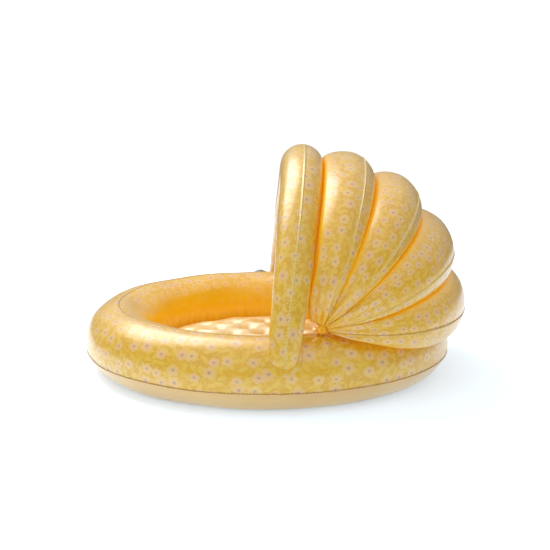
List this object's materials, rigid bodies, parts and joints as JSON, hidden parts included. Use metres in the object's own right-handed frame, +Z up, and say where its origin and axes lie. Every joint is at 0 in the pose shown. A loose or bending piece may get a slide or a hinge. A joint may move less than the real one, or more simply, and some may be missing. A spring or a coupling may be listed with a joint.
{
  "type": "inflatable baby paddling pool with canopy",
  "caption": "Round inflatable paddling pool with a puffed floor, a front arch and a scallop-shell sun canopy of puffed ribs.",
  "frame": {"origin": "centre of the ring, on the ground under the floor", "axes": "+Z up, +X from the ring's centre towards the back of the canopy, the arch and ribs span along Y"},
  "size_m": [1.0399, 1.0002, 0.6095],
  "materials": {
    "printed_vinyl": "glossy printed film",
    "plain_vinyl": "glossy plain film",
    "floor_vinyl": "glossy plain film",
    "valve_vinyl": "translucent moulded vinyl"
  },
  "bodies": {
    "pool": {"ring_outer_panel": "printed_vinyl", "ring_inner_panel": "printed_vinyl", "arch_front_panel": "printed_vinyl", "arch_rear_panel": "printed_vinyl", "rib_1_front_panel": "printed_vinyl", "rib_1_rear_panel": "printed_vinyl", "rib_2_front_panel": "printed_vinyl", "rib_2_rear_panel": "printed_vinyl", "rib_3_front_panel": "printed_vinyl", "rib_3_rear_panel": "printed_vinyl", "rib_4_front_panel": "printed_vinyl", "rib_4_rear_panel": "printed_vinyl", "gather_near": "printed_vinyl", "gather_far": "printed_vinyl", "arch_foot_patch_near": "printed_vinyl", "arch_foot_patch_far": "printed_vinyl", "ring_bottom_band": "plain_vinyl", "floor_bottom_sheet": "plain_vinyl", "floor_top_sheet": "floor_vinyl", "ring_valve_seat": "valve_vinyl", "floor_valve_seat": "valve_vinyl", "canopy_valve_seat": "valve_vinyl"},
    "ring_valve_stem": {"ring_valve_stem": "valve_vinyl"},
    "ring_valve_plug": {"ring_valve_plug": "valve_vinyl"},
    "ring_valve_flap": {"ring_valve_flap": "valve_vinyl"},
    "floor_valve_stem": {"floor_valve_stem": "valve_vinyl"},
    "floor_valve_plug": {"floor_valve_plug": "valve_vinyl"},
    "floor_valve_flap": {"floor_valve_flap": "valve_vinyl"},
    "canopy_valve_stem": {"canopy_valve_stem": "valve_vinyl"},
    "canopy_valve_plug": {"canopy_valve_plug": "valve_vinyl"},
    "canopy_valve_flap": {"canopy_valve_flap": "valve_vinyl"}
  },
  "joints": [
    {"name": "ring_valve_pull_out", "type": "slide", "parent": "pool", "child": "ring_valve_stem", "axis": [-0.0191, 0.3415, 0.9397], "range_m": [0, 0.0125]},
    {"name": "ring_valve_plug_hinge", "type": "hinge", "parent": "ring_valve_stem", "child": "ring_valve_plug", "pos_m": [-0.02544, 0.45505, 0.17355], "axis": [-0.9984, -0.0558, 0], "range_deg": [0, 150]},
    {"name": "ring_valve_check_flap", "type": "hinge", "parent": "ring_valve_stem", "child": "ring_valve_flap", "pos_m": [-0.02454, 0.43888, 0.14842], "axis": [0.9984, 0.0558, 0], "range_deg": [0, 60], "stiffness_Nm_per_rad": 0.0002, "springref_deg": -11.46},
    {"name": "floor_valve_pull_out", "type": "slide", "parent": "pool", "child": "floor_valve_stem", "axis": [0, 0, 1], "range_m": [0, 0.01]},
    {"name": "floor_valve_plug_hinge", "type": "hinge", "parent": "floor_valve_stem", "child": "floor_valve_plug", "pos_m": [-0.1375, -0.165, 0.0919], "axis": [0, 1, 0], "range_deg": [0, 150]},
    {"name": "floor_valve_check_flap", "type": "hinge", "parent": "floor_valve_stem", "child": "floor_valve_flap", "pos_m": [-0.1428, -0.165, 0.0683], "axis": [0, -1, 0], "range_deg": [0, 60], "stiffness_Nm_per_rad": 0.0002, "springref_deg": -11.46},
    {"name": "canopy_valve_pull_out", "type": "slide", "parent": "pool", "child": "canopy_valve_stem", "axis": [-0.7327, 0.6047, 0.3122], "range_m": [0, 0.01]},
    {"name": "canopy_valve_plug_hinge", "type": "hinge", "parent": "canopy_valve_stem", "child": "canopy_valve_plug", "pos_m": [0.01991, 0.4573, 0.26891], "axis": [-0.6365, -0.7712, 0], "range_deg": [0, 150]},
    {"name": "canopy_valve_check_flap", "type": "hinge", "parent": "canopy_valve_stem", "child": "canopy_valve_flap", "pos_m": [0.03848, 0.44197, 0.26658], "axis": [0.6365, 0.7712, 0], "range_deg": [0, 60], "stiffness_Nm_per_rad": 0.0002, "springref_deg": -11.46}
  ]
}
